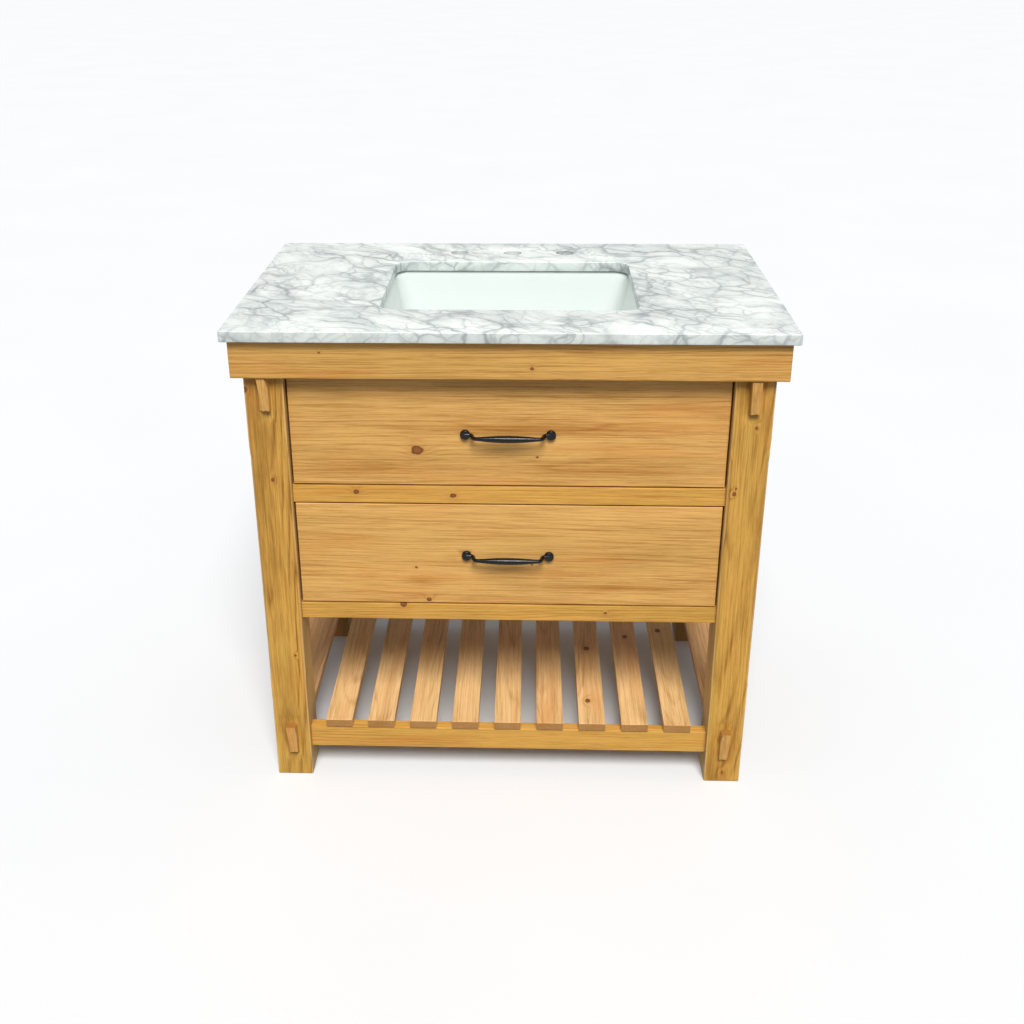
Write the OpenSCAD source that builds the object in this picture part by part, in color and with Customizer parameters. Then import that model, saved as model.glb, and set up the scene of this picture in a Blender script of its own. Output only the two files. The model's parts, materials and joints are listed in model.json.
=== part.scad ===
// Bathroom vanity cabinet: a stone top with an undermount basin on a pine frame
// with two sliding drawers above an open slatted shelf.
// Millimetres. X is the width, -Y the front, +Z up. The origin is the centre of the footprint, on the floor.

/* [Overall size] */
// Width of the stone top
slab_w = 914; // [880:1:1200]
// Depth of the stone top
slab_d = 574; // [520:1:700]
// Height from the floor to the top of the stone
total_h = 880; // [730:1:1060]

/* [Stone top] */
// Thickness of the stone
slab_t = 18; // [15:1:30]
// How far the stone stands past the apron on each side
slab_side_lip = 10; // [0:1:20]
// How far the stone stands past the apron at the front
slab_front_lip = 12; // [0:1:25]
// Width of the sink cut-out
cutout_w = 434; // [340:1:440]
// Depth of the sink cut-out
cutout_d = 306; // [220:1:320]
// Corner radius of the sink cut-out
cutout_r = 26; // [15:1:50]
// From the back edge of the stone to the sink cut-out
cutout_back = 144; // [120:1:160]
// Diameter of each faucet hole
faucet_hole_d = 34; // [28:0.5:38]
// Distance between neighbouring faucet holes
faucet_spacing = 101.6; // [51:0.2:102]
// From the back edge of the stone to the line of faucet holes
faucet_back = 73; // [55:1:85]

/* [Basin] */
// Depth of the bowl below its rim
bowl_depth = 140; // [110:1:160]
// Thickness of the ceramic wall
basin_wall = 9; // [7:0.5:12]
// How far the bowl's mouth lies outside the stone's cut-out
basin_reveal = 4; // [0:1:8]
// Width of the flat flange around the mouth
rim_w = 18; // [14:1:24]
// Thickness of the flange
rim_t = 10; // [8:1:14]
// Thickness of the sealing bead between flange and stone
seal_t = 1.5; // [1:0.5:3]
// How much the bowl narrows from mouth to floor on each side
bowl_taper = 42; // [20:1:50]
// Diameter of the drain hole
drain_d = 45; // [38:0.5:50]

/* [Frame] */
// Width of each leg across the front
leg_w = 65; // [56:1:76]
// Depth of each leg
leg_d = 70; // [60:1:80]
// Thickness of the apron boards
apron_t = 17; // [14:1:22]
// Height of the apron boards
apron_h = 65; // [50:1:80]
// Thickness of the rails, front to back
rail_t = 21; // [18:1:24]
// How far the rails sit behind the faces of the legs
rail_setback = 13; // [8:1:18]
// Height of the rail between the drawers
mid_rail_h = 32; // [26:1:45]
// Height of the rail under the lower drawer
bottom_rail_h = 31; // [26:1:45]
// Width of the chamfer on the leg's front edges
leg_chamfer = 5; // [2:0.5:8]
// From the floor to the lower end of the chamfer
chamfer_foot = 205; // [170:1:240]
// From the top of the leg to the upper end of the chamfer
chamfer_head = 190; // [150:1:220]
// Length of the pointed stop at each end of the chamfer
chamfer_stop = 22; // [10:1:40]
// Length of the stub tenons
tenon_l = 20; // [12:1:24]
// Thickness of the side panels
side_panel_t = 18; // [12:1:22]
// How far the side panels sit inside the outer faces of the legs
side_panel_setback = 10; // [4:1:16]
// Thickness of the back panel
back_panel_t = 6; // [4:1:9]
// Width of the plumbing opening in the back panel
plumb_w = 420; // [250:1:500]
// Height of the plumbing opening in the back panel
plumb_h = 330; // [200:1:360]

/* [Pegs] */
// Width of each peg head
peg_w = 18; // [12:1:22]
// Height of each peg head
peg_h = 60; // [45:1:70]
// How far the head stands proud at its top
peg_top = 14; // [8:1:16]
// How far the head stands proud at its bottom
peg_bottom = 8; // [3:1:8]

/* [Shelf] */
// Height of the underside of the shelf rails
shelf_rail_z = 56; // [40:1:80]
// Height of the shelf rails
shelf_rail_h = 44; // [36:1:60]
// Width of each slat
slat_w = 49; // [40:1:58]
// Thickness of each slat
slat_t = 16; // [12:1:20]
// Gap between an end board and its neighbouring slat
slat_end_gap = 32; // [20:1:40]
// How far the slats stand past the front rail
slat_nose = 2; // [0:1:5]
// How far the end boards sit behind the inner faces of the legs
edge_setback = 3; // [0:1:8]

/* [Drawers] */
// Height of the upper drawer opening
upper_opening_h = 202; // [190:1:230]
// Height of the lower drawer opening
lower_opening_h = 198; // [185:1:230]
// Gap around each drawer front
front_gap = 2.5; // [1.5:0.5:4]
// Thickness of each drawer front
front_t = 20; // [16:1:24]
// How far each drawer front sits behind the face of the rails
front_setback = 1; // [0:0.5:4]
// Thickness of the boards that make the drawer boxes
box_t = 12; // [10:1:15]
// Height of the drawer boxes
box_h = 150; // [110:1:160]
// From the opening's lower edge to the drawer box
box_lift = 12; // [6:1:20]
// Clear space behind each drawer box
box_back_gap = 12; // [8:1:30]
// Thickness of the drawer bottoms
bottom_t = 6; // [4:1:9]
// Space between the bowl and the notch of the upper drawer
notch_gap = 20; // [10:1:30]

/* [Handles] */
// Distance between the two screws of a handle
handle_spacing = 142; // [96:1:160]
// From the drawer face to the centre of the grip
handle_reach = 22; // [20:1:28]
// From each screw to the end of the grip
grip_in = 12; // [8:1:20]
// Diameter of the grip at its middle
grip_d = 12.5; // [9:0.5:14]
// Diameter of the bent rod at the ends of the grip
rod_d = 7.5; // [5:0.5:9]
// Diameter of each rosette
rosette_d = 17; // [12:1:24]
// Thickness of each rosette
rosette_t = 7; // [6.5:0.5:9]
// Height of the upper handle above its opening's lower edge
handle_z_upper = 96; // [85:1:110]
// Height of the lower handle above its opening's lower edge
handle_z_lower = 99; // [85:1:110]
// Diameter of the handle screws
screw_d = 4; // [3:0.5:5]

/* [Drawer slides] */
// Height of the outer slide member
slide_h = 45; // [35:1:46]
// Space that a slide takes between drawer and frame
slide_space = 13; // [12.5:0.1:14]
// Thickness of the slide's sheet steel
slide_sheet = 1.5; // [1:0.1:1.6]
// Step between the standard slide lengths
slide_step = 50; // [25:25:50]
// From the drawer box's lower edge to the slide's centre line
slide_rise = 60; // [40:1:80]
// Height of the battens that carry the slides
batten_h = 60; // [50:1:80]

/* [Hidden] */

// Clearances
tenon_gap = 0.1;         // around a tenon in its mortise
panel_gap = 0.5;         // around a panel in its groove
slide_play = 2;          // between the flanges of nested slide members
screw_play = 0.5;        // added to the diameter of a screw hole
thread_play = 0.2;       // added to the diameter of a threaded hole
cut = 1;                 // how far a cutting tool runs past a surface

// Small fixed sizes
tenon_shoulder = 6;      // wood left around a tenon
panel_groove = 8;        // depth of the grooves that hold the side panels
bottom_groove = 5;       // depth of the grooves that hold the drawer bottoms
bottom_rise = 10;        // from a drawer box's lower edge to its bottom panel
block_side = 36;         // side of the corner blocks
block_h = 40;            // height of the corner blocks
edge_inset = 2;          // from the leg's outer face to an end board
peg_shank_d = 20;        // depth of a peg's shank in the leg
peg_shank_in = 3;        // how much smaller the shank is than the head, each side
peg_clear = 1;           // between the upper pegs and the apron
peg_drop = 2;            // from the shelf rail's underside down to the lower pegs
screw_head_d = 8;        // handle screw head
screw_head_t = 2.5;
screw_bite = 5;          // thread inside the rosette
rod_gap = 0.5;           // between the rod's foot and the drawer
clip_w = 20;             // width of a basin clip
clip_t = 2;
clip_foot = 10;          // how far a clip's foot lies under the stone
clip_gap = 1;            // from a clip to the bowl's wall and to the flange's edge
clip_offset = 130;       // from the centre line to each clip
drain_boss_d = 70;
seal_in = 2;             // from the flange's edges to the sealing bead
bowl_bend = 30;          // height above the floor where the walls start to curve in
bowl_foot = 10;          // how far the flat floor ends inside that curve, each side
bowl_slice = 0.1;        // thickness of the outlines that the bowl is stretched between
overflow_w = 26;         // width of the overflow slot
overflow_h = 8;
overflow_drop = 28;      // from the rim to the overflow slot
duct_wall = 5;
duct_space = 9;          // inside depth of the overflow duct
plumb_r = 20;
plumb_above_rail = 70;   // from the rear bottom rail to the plumbing opening
slide_front_gap = 4;     // from the sub-front to the front end of the slides
slide_back_gap = 6;      // least space behind the slides

// Places across the width and the depth
front_y = -slab_d / 2;
back_y = slab_d / 2;
apron_y = front_y + slab_front_lip;
leg_y = apron_y + apron_t;
leg_back = leg_y + leg_d;
rear_leg_y = back_y - leg_d;
rail_y = leg_y + rail_setback;
apron_x = slab_w / 2 - slab_side_lip;
leg_x = apron_x - apron_t;
leg_in = leg_x - leg_w;
leg_mid = leg_in + leg_w / 2;
panel_x = leg_x - side_panel_setback - side_panel_t;
rear_rail_y = back_y - back_panel_t - rail_t;
shelf_rear_y = back_y - rail_setback - rail_t;

// Heights
frame_top = total_h - slab_t;
apron_z = frame_top - apron_h;
upper_z = apron_z - upper_opening_h;
mid_rail_z = upper_z - mid_rail_h;
lower_z = mid_rail_z - lower_opening_h;
bottom_rail_z = lower_z - bottom_rail_h;
shelf_z = shelf_rail_z + shelf_rail_h;

// Pegs
upper_peg_z = apron_z - peg_clear - peg_h;
lower_peg_z = shelf_rail_z - peg_drop;

// Slats
slat_count = 9;
edge_in = leg_in + edge_setback;
slat_pitch = (2 * edge_in - 2 * slat_end_gap - slat_w) / (slat_count - 1);

// Basin
sink_y = back_y - cutout_back - cutout_d / 2;
mouth_w = cutout_w + 2 * basin_reveal;
mouth_d = cutout_d + 2 * basin_reveal;
mouth_r = cutout_r + basin_reveal;
rim_z = frame_top - seal_t;
floor_z = rim_z - bowl_depth;
floor_w = mouth_w - 2 * bowl_taper;
floor_d = mouth_d - 2 * bowl_taper;
floor_r = 45;
flat_w = floor_w - 2 * bowl_foot;
flat_d = floor_d - 2 * bowl_foot;

// Drawers
face_y = rail_y + front_setback;
box_y = face_y + front_t;
box_x = leg_in - slide_space;
box_back = rear_leg_y - box_back_gap;
box_l = box_back - box_y;
notch_x = mouth_w / 2 + basin_wall + notch_gap;
tray_in = notch_x + box_t;
tray_out = box_x - box_t;

// Handles
grip_half = handle_spacing / 2 - grip_in;
grip_steps = 24;

// Slides
slide_l = slide_step * floor((box_l - slide_front_gap - slide_back_gap) / slide_step);
slide_y = box_y + slide_front_gap;
middle_h = slide_h - 2 * (slide_sheet + slide_play);
inner_h = middle_h - 2 * (slide_sheet + slide_play);
middle_x = leg_in - slide_sheet - slide_play;
outer_depth = 8;         // how far each member's flanges reach from its web
middle_depth = 7.5;
inner_depth = 6.5;

// A block between two opposite corners
module block(lo, hi) {
    translate(lo) cube(hi - lo);
}

// The same solids on the left and on the right
module both_sides() {
    children();
    mirror([1, 0, 0]) children();
}

// A flat plate with round corners, its top at z = 0
module round_plate(w, d, r, t) {
    translate([0, 0, -t]) linear_extrude(t) round_outline(w, d, r);
}

module round_outline(w, d, r) {
    union() {
        square([w - 2 * r, d], center = true);
        square([w, d - 2 * r], center = true);
        for (sx = [-1, 1], sy = [-1, 1])
            translate([sx * (w / 2 - r), sy * (d / 2 - r)]) circle(r, $fn = 64);
    }
}

// ---- Frame joinery ----

// The bar whose two ends are the stub tenons of a cross rail, grown by a clearance
module rail_tenons(y, z, h, gap = 0) {
    end = leg_in + tenon_l + gap;
    in = tenon_shoulder - gap;
    block([-end, y + in, z + in], [end, y + rail_t - in, z + h - in]);
}

module cross_rail(y, z, h) {
    union() {
        block([-leg_in, y, z], [leg_in, y + rail_t, z + h]);
        rail_tenons(y, z, h);
    }
}

// The bar whose two ends are the stub tenons of a right-hand side stretcher
module stretcher_tenons(gap = 0) {
    in = tenon_shoulder - gap;
    x0 = leg_mid - rail_t / 2;
    block([x0 + in, leg_back - tenon_l - gap, shelf_rail_z + in],
          [x0 + rail_t - in, rear_leg_y + tenon_l + gap, shelf_z - in]);
}

// The right-hand side panel with its edges in the legs' grooves, grown by a clearance
module panel_solid(gap = 0) {
    reach = panel_groove - panel_gap + gap;
    block([panel_x - gap, leg_back - reach, bottom_rail_z - gap],
          [panel_x + side_panel_t + gap, rear_leg_y + reach, frame_top]);
}

// Shanks of the right-hand pegs, at the height of the top rail and of the shelf rail
module peg_shank(z, gap = 0) {
    in = peg_shank_in - gap;
    block([leg_mid - peg_w / 2 + in, leg_y - cut, z + in],
          [leg_mid + peg_w / 2 - in, leg_y + peg_shank_d + gap, z + peg_h - in]);
}

// Chamfer cut along a vertical edge at x on the front face of a leg, with a pointed stop at each end.
// way is 1 where the wood lies towards +X of the edge, and -1 where it lies towards -X.
module edge_chamfer(x, way) {
    z0 = chamfer_foot;
    z1 = frame_top - chamfer_head;
    bite = leg_chamfer / sqrt(2);
    translate([x, leg_y, 0]) rotate([0, 0, 90 - 45 * way]) rotate([90, 0, 0])
        linear_extrude(4 * leg_chamfer, center = true)
            polygon([
                [-leg_chamfer, z0], [0, z0], [bite, z0 + chamfer_stop],
                [bite, z1 - chamfer_stop], [0, z1], [-leg_chamfer, z1]
            ]);
}

module front_leg() {
    difference() {
        block([leg_in, leg_y, 0], [leg_x, leg_back, frame_top]);
        edge_chamfer(leg_in, 1);
        edge_chamfer(leg_x, -1);
        rail_tenons(rail_y, apron_z, apron_h, tenon_gap);
        rail_tenons(rail_y, mid_rail_z, mid_rail_h, tenon_gap);
        rail_tenons(rail_y, bottom_rail_z, bottom_rail_h, tenon_gap);
        rail_tenons(rail_y, shelf_rail_z, shelf_rail_h, tenon_gap);
        stretcher_tenons(tenon_gap);
        panel_solid(panel_gap / 2);
        peg_shank(upper_peg_z, tenon_gap);
        peg_shank(lower_peg_z, tenon_gap);
    }
}

module rear_leg() {
    difference() {
        block([leg_in, rear_leg_y, 0], [leg_x, back_y, frame_top]);
        rail_tenons(rear_rail_y, apron_z, apron_h, tenon_gap);
        rail_tenons(rear_rail_y, bottom_rail_z, bottom_rail_h, tenon_gap);
        rail_tenons(shelf_rear_y, shelf_rail_z, shelf_rail_h, tenon_gap);
        stretcher_tenons(tenon_gap);
        panel_solid(panel_gap / 2);
    }
}

// ---- Frame ----

module leg_front_left() { color("#C4943F") mirror([1, 0, 0]) front_leg(); }
module leg_front_right() { color("#C4943F") front_leg(); }
module leg_rear_left() { color("#BE8E3E") mirror([1, 0, 0]) rear_leg(); }
module leg_rear_right() { color("#BE8E3E") rear_leg(); }

module apron_front() {
    color("#D2A055") block([-apron_x, apron_y, apron_z], [apron_x, leg_y, frame_top]);
}

module apron_side() {
    block([leg_x, leg_y, apron_z], [apron_x, back_y, frame_top]);
}

module apron_left() { color("#D2A055") mirror([1, 0, 0]) apron_side(); }
module apron_right() { color("#D2A055") apron_side(); }

module top_rail_front() { color("#CC9A50") cross_rail(rail_y, apron_z, apron_h); }
module top_rail_rear() { color("#CC9A50") cross_rail(rear_rail_y, apron_z, apron_h); }
module mid_rail() { color("#D2A055") cross_rail(rail_y, mid_rail_z, mid_rail_h); }
module bottom_rail_front() { color("#D2A055") cross_rail(rail_y, bottom_rail_z, bottom_rail_h); }
module bottom_rail_rear() { color("#CC9A50") cross_rail(rear_rail_y, bottom_rail_z, bottom_rail_h); }

module side_panel_left() { color("#D0A05A") mirror([1, 0, 0]) panel_solid(); }
module side_panel_right() { color("#D0A05A") panel_solid(); }

// Thin panel behind the rear rails, with the opening that the pipes come through
module back_panel() {
    mid_z = bottom_rail_z + bottom_rail_h + plumb_above_rail + plumb_h / 2;
    color("#C9A877") difference() {
        block([-leg_in, back_y - back_panel_t, bottom_rail_z], [leg_in, back_y, frame_top]);
        translate([0, back_y - back_panel_t - cut, mid_z]) rotate([-90, 0, 0])
            linear_extrude(back_panel_t + 2 * cut) round_outline(plumb_w, plumb_h, plumb_r);
    }
}

// Battens between the legs that fill out the sides for the slides
module slide_battens() {
    color("#C8A068") both_sides()
        for (z = [upper_z, lower_z]) {
            mid = z + box_lift + slide_rise;
            block([leg_in, leg_back, mid - batten_h / 2], [panel_x, rear_leg_y, mid + batten_h / 2]);
        }
}

// Triangular blocks that stiffen the top corners and carry the stone
module corner_block(y, way) {
    translate([0, 0, frame_top - block_h]) linear_extrude(block_h)
        polygon([[leg_in, y], [leg_in - block_side, y], [leg_in, y + way * block_side]]);
}

module corner_blocks() {
    color("#C8A068") both_sides() {
        corner_block(rail_y + rail_t, 1);
        corner_block(rear_rail_y, -1);
    }
}

// Wedge-faced pegs, proud of the front legs
module peg(z) {
    union() {
        translate([leg_mid - peg_w / 2, 0, 0]) rotate([90, 0, 90]) linear_extrude(peg_w)
            polygon([
                [leg_y, z], [leg_y - peg_bottom, z],
                [leg_y - peg_top, z + peg_h], [leg_y, z + peg_h]
            ]);
        peg_shank(z);
    }
}

module leg_pegs() {
    color("#C89A4A") both_sides() {
        peg(upper_peg_z);
        peg(lower_peg_z);
    }
}

// ---- Shelf ----

module stretcher() {
    x0 = leg_mid - rail_t / 2;
    union() {
        block([x0, leg_back, shelf_rail_z], [x0 + rail_t, rear_leg_y, shelf_z]);
        stretcher_tenons();
    }
}

module shelf_edge() {
    block([edge_in, leg_back, shelf_z], [leg_x - edge_inset, rear_leg_y, shelf_z + slat_t]);
}

module stretcher_left() { color("#CC9A50") mirror([1, 0, 0]) stretcher(); }
module stretcher_right() { color("#CC9A50") stretcher(); }
module shelf_rail_front() { color("#CC9A4C") cross_rail(rail_y, shelf_rail_z, shelf_rail_h); }
module shelf_rail_rear() { color("#CC9A4C") cross_rail(shelf_rear_y, shelf_rail_z, shelf_rail_h); }
module shelf_edge_left() { color("#E2B070") mirror([1, 0, 0]) shelf_edge(); }
module shelf_edge_right() { color("#E2B070") shelf_edge(); }

module shelf_slat(number) {
    x = (number - (slat_count + 1) / 2) * slat_pitch;
    color("#DDAA66")
        block([x - slat_w / 2, rail_y - slat_nose, shelf_z],
              [x + slat_w / 2, shelf_rear_y + rail_t, shelf_z + slat_t]);
}

// ---- Stone top and basin ----

module marble_top() {
    color("#E9ECEB") difference() {
        block([-slab_w / 2, front_y, frame_top], [slab_w / 2, back_y, total_h]);
        translate([0, sink_y, total_h + cut]) round_plate(cutout_w, cutout_d, cutout_r, slab_t + 2 * cut);
        for (i = [-1, 0, 1])
            translate([i * faucet_spacing, back_y - faucet_back, frame_top - cut])
                cylinder(d = faucet_hole_d, h = slab_t + 2 * cut, $fn = 64);
    }
}

// A bowl shape that tapers from its mouth to its floor, grown by a wall
module bowl_solid(grow, top, bottom) {
    hull() {
        translate([0, 0, top]) linear_extrude(bowl_slice)
            corner_circles(mouth_w + 2 * grow, mouth_d + 2 * grow, mouth_r + grow);
        translate([0, 0, floor_z + bowl_bend]) linear_extrude(bowl_slice)
            corner_circles(floor_w + bowl_bend + 2 * grow, floor_d + bowl_bend + 2 * grow, floor_r + grow);
        translate([0, 0, bottom]) linear_extrude(bowl_slice)
            corner_circles(flat_w + 2 * grow, flat_d + 2 * grow, floor_r + grow);
    }
}

module corner_circles(w, d, r) {
    for (sx = [-1, 1], sy = [-1, 1])
        translate([sx * (w / 2 - r), sy * (d / 2 - r)]) circle(r, $fn = 32);
}

// Distance from the basin's centre to the outside of its front wall, at a height in the wall's upper part
function wall_reach(z) =
    let (low = floor_z + bowl_bend, high = rim_z - rim_t, share = (z - low) / (high - low))
        basin_wall + (floor_d / 2 + bowl_bend / 2) * (1 - share) + mouth_d / 2 * share;

// Side outline of a layer outside the front wall and under the floor, between two distances from them
module duct_outline(near, far, top, end) {
    bend = floor_z + bowl_bend;
    foot = flat_d / 2 + basin_wall;
    low = floor_z - basin_wall;
    polygon([
        [-wall_reach(top) - far, top], [-wall_reach(bend) - far, bend],
        [-foot - far / 2, low - far], [-end, low - far],
        [-end, low - near], [-foot - near, low - near],
        [-wall_reach(bend) - near, bend], [-wall_reach(top) - near, top]
    ]);
}

module duct(width, near, far, top, end) {
    translate([-width / 2, 0, 0]) rotate([90, 0, 90]) linear_extrude(width) duct_outline(near, far, top, end);
}

// White ceramic bowl with a flat flange, a drain hole and an overflow duct outside its front wall
module basin() {
    low_z = floor_z - basin_wall;
    boss_h = duct_space + duct_wall;
    half_wall = basin_wall / 2;
    color("#F4F6F6") translate([0, sink_y, 0]) difference() {
        union() {
            translate([0, 0, rim_z])
                round_plate(mouth_w + 2 * rim_w, mouth_d + 2 * rim_w, mouth_r + rim_w, rim_t);
            bowl_solid(basin_wall, rim_z - rim_t, low_z);
            translate([0, 0, low_z - boss_h]) cylinder(d = drain_boss_d, h = boss_h + half_wall, $fn = 96);
            duct(overflow_w + 2 * duct_wall, -half_wall, boss_h, rim_z - rim_t + cut, 0);
        }
        bowl_solid(0, rim_z + cut, floor_z);
        translate([0, 0, low_z - boss_h - cut]) cylinder(d = drain_d, h = bowl_depth, $fn = 96);
        duct(overflow_w, -cut, duct_space, rim_z - rim_t - duct_wall, drain_d / 2 - duct_wall);
        translate([-overflow_w / 2, -mouth_d / 2 - basin_wall - cut, rim_z - overflow_drop])
            cube([overflow_w, 2 * basin_wall + overflow_w, overflow_h]);
    }
}

// Sealing bead between the flange and the stone
module basin_seal() {
    outer = rim_w - seal_in;
    color("#8C9090") translate([0, sink_y, frame_top]) difference() {
        round_plate(mouth_w + 2 * outer, mouth_d + 2 * outer, mouth_r + outer, seal_t);
        translate([0, 0, cut])
            round_plate(mouth_w + 2 * seal_in, mouth_d + 2 * seal_in, mouth_r + seal_in, seal_t + 2 * cut);
    }
}

// A bent steel clip that holds the flange up against the stone
module clip(x, way) {
    lip = mouth_d / 2 + basin_wall + clip_gap;
    web = mouth_d / 2 + rim_w + clip_gap;
    foot = web + clip_foot;
    low = rim_z - rim_t;
    translate([x - clip_w / 2, sink_y, 0]) rotate([90, 0, 90]) linear_extrude(clip_w)
        polygon([for (p = [
            [lip, low - clip_t], [web + clip_t, low - clip_t],
            [web + clip_t, frame_top - clip_t], [foot, frame_top - clip_t],
            [foot, frame_top], [web, frame_top], [web, low], [lip, low]
        ]) [way * p[0], p[1]]]);
}

module basin_clips() {
    color("#A9ADB0")
        for (x = [-clip_offset, clip_offset], way = [-1, 1]) clip(x, way);
}

// ---- Drawers ----

// Holes for a handle's two screws, through everything between two depths
module screw_holes(z, y0, y1, d) {
    for (sx = [-1, 1])
        translate([sx * handle_spacing / 2, y0, z]) rotate([-90, 0, 0])
            cylinder(d = d, h = y1 - y0, $fn = 32);
}

module drawer_front(z, h, handle_z) {
    w = leg_in - front_gap;
    difference() {
        block([-w, face_y, z + front_gap], [w, box_y, z + h - front_gap]);
        screw_holes(z + handle_z, face_y - cut, box_y + cut, screw_d + screw_play);
    }
}

// The slot in a box board that takes a drawer bottom
module bottom_slot(lo_x, hi_x, z) {
    slot_z = z + box_lift + bottom_rise;
    reach = bottom_groove;
    block([lo_x - reach, box_y + box_t - reach, slot_z],
          [hi_x + reach, box_back - box_t + reach, slot_z + bottom_t + tenon_gap]);
}

// A bottom panel that lies in the slots of the boards around it
module bottom_panel(lo_x, hi_x, z) {
    slot_z = z + box_lift + bottom_rise;
    reach = bottom_groove - panel_gap;
    block([lo_x - reach, box_y + box_t - reach, slot_z],
          [hi_x + reach, box_back - box_t + reach, slot_z + bottom_t]);
}

module subfront(z, handle_z) {
    inside = box_x - box_t;
    difference() {
        block([-inside, box_y, z + box_lift], [inside, box_y + box_t, z + box_lift + box_h]);
        screw_holes(z + handle_z, box_y - cut, box_y + box_t + cut, screw_d + screw_play);
        children();
    }
}

module box_side(z) {
    block([box_x - box_t, box_y, z + box_lift], [box_x, box_back, z + box_lift + box_h]);
}

module box_back_board(lo_x, hi_x, z) {
    block([lo_x, box_back - box_t, z + box_lift], [hi_x, box_back, z + box_lift + box_h]);
}

module upper_drawer_front() { color("#D2A260") drawer_front(upper_z, upper_opening_h, handle_z_upper); }

module upper_drawer_subfront() {
    color("#D9BE8C") subfront(upper_z, handle_z_upper)
        both_sides() bottom_slot(tray_in, tray_out, upper_z);
}

module upper_side() {
    difference() {
        box_side(upper_z);
        bottom_slot(tray_in, tray_out, upper_z);
    }
}

module upper_drawer_side_left() { color("#D9BE8C") mirror([1, 0, 0]) upper_side(); }
module upper_drawer_side_right() { color("#D9BE8C") upper_side(); }

// Walls either side of the notch that leaves room for the bowl and its pipes
module upper_drawer_notch_walls() {
    color("#D9BE8C") both_sides() difference() {
        block([notch_x, box_y + box_t, upper_z + box_lift], [tray_in, box_back, upper_z + box_lift + box_h]);
        bottom_slot(tray_in, tray_out, upper_z);
    }
}

module upper_drawer_backs() {
    color("#D9BE8C") both_sides() difference() {
        box_back_board(tray_in, tray_out, upper_z);
        bottom_slot(tray_in, tray_out, upper_z);
    }
}

module upper_drawer_bottoms() {
    color("#E2CCA0") both_sides() bottom_panel(tray_in, tray_out, upper_z);
}

module lower_drawer_front() { color("#D2A260") drawer_front(lower_z, lower_opening_h, handle_z_lower); }

module lower_drawer_subfront() {
    color("#D9BE8C") subfront(lower_z, handle_z_lower) bottom_slot(-tray_out, tray_out, lower_z);
}

module lower_side() {
    difference() {
        box_side(lower_z);
        bottom_slot(-tray_out, tray_out, lower_z);
    }
}

module lower_drawer_side_left() { color("#D9BE8C") mirror([1, 0, 0]) lower_side(); }
module lower_drawer_side_right() { color("#D9BE8C") lower_side(); }

module lower_drawer_back() {
    color("#D9BE8C") difference() {
        box_back_board(-tray_out, tray_out, lower_z);
        bottom_slot(-tray_out, tray_out, lower_z);
    }
}

module lower_drawer_bottom() { color("#E2CCA0") bottom_panel(-tray_out, tray_out, lower_z); }

// ---- Handles ----

// Radius of the grip at a distance from its middle
function grip_r(x) =
    rod_d / 2 + (grip_d - rod_d) / 2 * pow(cos(90 * x / grip_half), 2);

// One end of a handle: a round rosette, the rod's foot along the drawer and its rise to the grip
module handle_end() {
    foot_y = -rod_d / 2 - rod_gap;
    translate([handle_spacing / 2, 0, 0]) rotate([90, 0, 0]) cylinder(d = rosette_d, h = rosette_t, $fn = 64);
    translate([grip_half, foot_y, 0]) {
        rotate([0, 90, 0]) cylinder(d = rod_d, h = grip_in, $fn = 48);
        rotate([90, 0, 0]) cylinder(d = rod_d, h = handle_reach + foot_y, $fn = 48);
        sphere(d = rod_d, $fn = 48);
    }
    translate([grip_half, -handle_reach, 0]) sphere(d = rod_d, $fn = 48);
}

// A swelled grip on a bent rod, with a round rosette at each end
module handle(z) {
    translate([0, face_y, z]) difference() {
        union() {
            translate([0, -handle_reach, 0]) rotate([0, 90, 0]) rotate_extrude($fn = 48)
                polygon(concat(
                    [[0, -grip_half], [0, grip_half]],
                    [for (i = [0:grip_steps])
                        let (x = grip_half - 2 * grip_half * i / grip_steps) [grip_r(x), x]]
                ));
            both_sides() handle_end();
        }
        screw_holes(0, -screw_bite - cut, cut, screw_d + thread_play);
    }
}

module handle_upper() { color("#1B1B1C") handle(upper_z + handle_z_upper); }
module handle_lower() { color("#1B1B1C") handle(lower_z + handle_z_lower); }

module handle_screws(z) {
    union() {
        screw_holes(z, face_y - screw_bite, box_y + box_t, screw_d);
        screw_holes(z, box_y + box_t, box_y + box_t + screw_head_t, screw_head_d);
    }
}

module handle_screws_upper() { color("#9A9DA0") handle_screws(upper_z + handle_z_upper); }
module handle_screws_lower() { color("#9A9DA0") handle_screws(lower_z + handle_z_lower); }

// ---- Drawer slides ----

// A steel channel along Y: web at x, flanges reaching towards x + way * depth
module channel(x, way, depth, h, z) {
    mid = z + box_lift + slide_rise;
    s = slide_sheet;
    translate([0, slide_y + slide_l, 0]) rotate([90, 0, 0]) linear_extrude(slide_l)
        translate([x, mid]) polygon([for (p = [
            [0, -h / 2], [depth, -h / 2], [depth, -h / 2 + s], [s, -h / 2 + s],
            [s, h / 2 - s], [depth, h / 2 - s], [depth, h / 2], [0, h / 2]
        ]) [way * p[0], p[1]]]);
}

module outer_member(z) { channel(leg_in, -1, outer_depth, slide_h, z); }
module middle_member(z) { channel(middle_x, -1, middle_depth, middle_h, z); }
module inner_member(z) { channel(box_x, 1, inner_depth, inner_h, z); }

module slide_outers() {
    color("#B9BCBE") both_sides() {
        outer_member(upper_z);
        outer_member(lower_z);
    }
}

module slide_middles_upper() { color("#B9BCBE") both_sides() middle_member(upper_z); }
module slide_middles_lower() { color("#B9BCBE") both_sides() middle_member(lower_z); }
module slide_inners_upper() { color("#B9BCBE") both_sides() inner_member(upper_z); }
module slide_inners_lower() { color("#B9BCBE") both_sides() inner_member(lower_z); }

// ---- Assembly ----

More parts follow.
